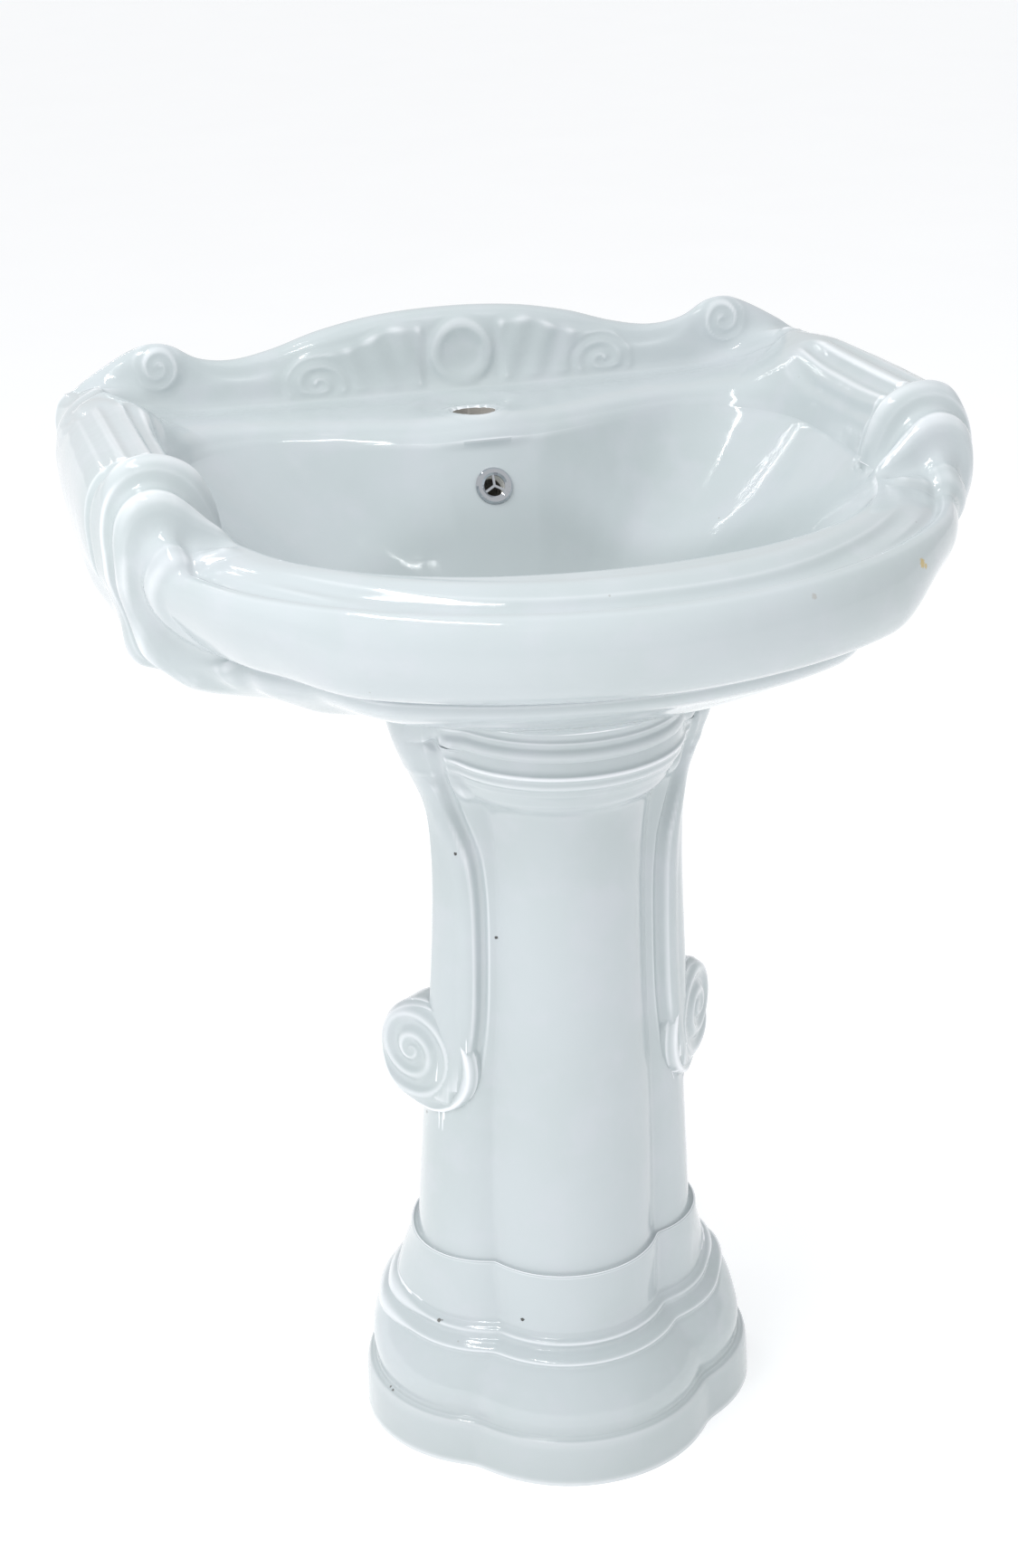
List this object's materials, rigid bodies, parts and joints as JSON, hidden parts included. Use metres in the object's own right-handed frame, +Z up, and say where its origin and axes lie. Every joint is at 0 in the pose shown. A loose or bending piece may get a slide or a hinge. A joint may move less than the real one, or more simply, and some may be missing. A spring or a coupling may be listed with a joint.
{
  "type": "pedestal sink",
  "caption": "Ornate white ceramic pedestal wash basin with rolled arms, a scrolled splash-back, a click-clack waste, a bottle trap and wall bolts.",
  "frame": {"origin": "on the floor, in the middle of the whole assembly's box; the bowl's waste is 30 mm in front of it and the wall plane is 260 mm behind it", "axes": "+X to the right as a user faces the basin, -Y towards the user, +Y to the wall, +Z up"},
  "size_m": [0.6814, 0.652, 0.881],
  "materials": {
    "glazed_clay": "glossy",
    "chrome_trim": "polished",
    "white_plastic": "satin",
    "trap_plastic": "semi-gloss",
    "rubber_seal": "matte",
    "zinc_steel": "zinc plated",
    "spring_steel": "bright",
    "brass_nut": "machined"
  },
  "bodies": {
    "basin_and_pedestal": {"basin": "glazed_clay", "pedestal": "glazed_clay", "overflow_ring": "chrome_trim", "overflow_sleeve": "white_plastic", "waste_body": "chrome_trim", "waste_top_seal": "rubber_seal", "waste_bottom_seal": "rubber_seal", "waste_washer": "zinc_steel", "waste_nut": "brass_nut", "click_cartridge": "white_plastic", "plug_spring": "spring_steel", "trap_inlet_nut": "trap_plastic", "trap_inlet_washer": "rubber_seal", "trap_inlet_tube": "trap_plastic", "trap_neck_nut": "trap_plastic", "trap_neck_seal": "rubber_seal", "trap_body": "trap_plastic", "trap_cup": "trap_plastic", "trap_cup_seal": "rubber_seal", "trap_outlet_nut": "trap_plastic", "trap_outlet_washer": "rubber_seal", "trap_outlet_pipe": "trap_plastic", "wall_flange": "chrome_trim", "wall_bolts": "zinc_steel", "bolt_sleeves": "white_plastic", "bolt_washers": "zinc_steel", "bolt_nuts": "zinc_steel"},
    "plug": {"plug_cap": "chrome_trim", "plug_stem": "brass_nut", "plug_seal": "rubber_seal"}
  },
  "joints": [
    {"name": "plug_slide", "type": "slide", "parent": "basin_and_pedestal", "child": "plug", "axis": [0, 0, 1], "range_m": [-0.0088, 0], "stiffness_N_per_m": 300, "springref_m": 0.01, "deforming": ["plug_spring"]}
  ]
}
